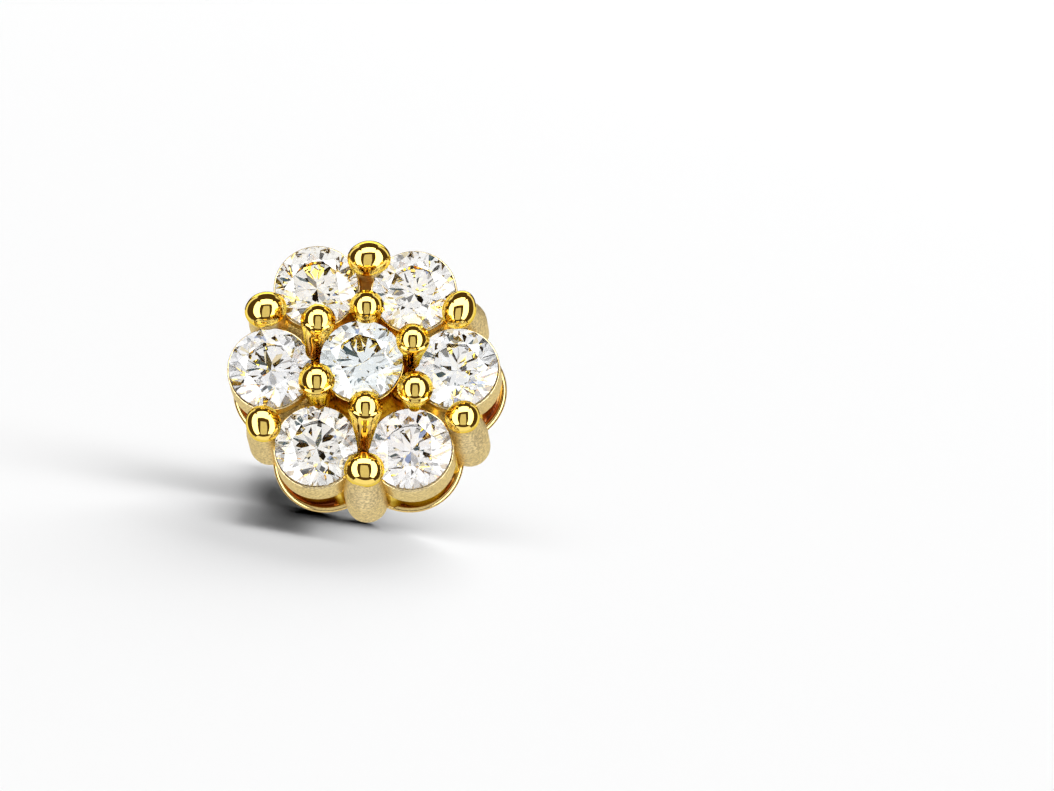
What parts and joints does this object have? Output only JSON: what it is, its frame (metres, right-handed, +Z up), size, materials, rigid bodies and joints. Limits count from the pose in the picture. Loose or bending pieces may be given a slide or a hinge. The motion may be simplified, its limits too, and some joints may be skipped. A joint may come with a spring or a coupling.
{
  "type": "cluster stud earring",
  "caption": "Round cluster stud earring: brilliant stones in a ring around a raised centre stone, ball prongs, open cast basket, plain ear post.",
  "frame": {"origin": "on the surface the stud lies on, under the middle of its bounding box", "axes": "+Z up; the stones face -Y and about 20 degrees up, and the post points to +Y and down to the surface"},
  "size_m": [0.0068, 0.0114, 0.0071],
  "materials": {
    "gold": "polished balls and wire, fine satin walls and columns",
    "stone": "clear, faceted and polished"
  },
  "bodies": {
    "root": {"setting": "gold", "stone_centre": "stone", "stone_right": "stone", "stone_upper_right": "stone", "stone_upper_left": "stone", "stone_left": "stone", "stone_lower_left": "stone", "stone_lower_right": "stone"}
  },
  "joints": []
}
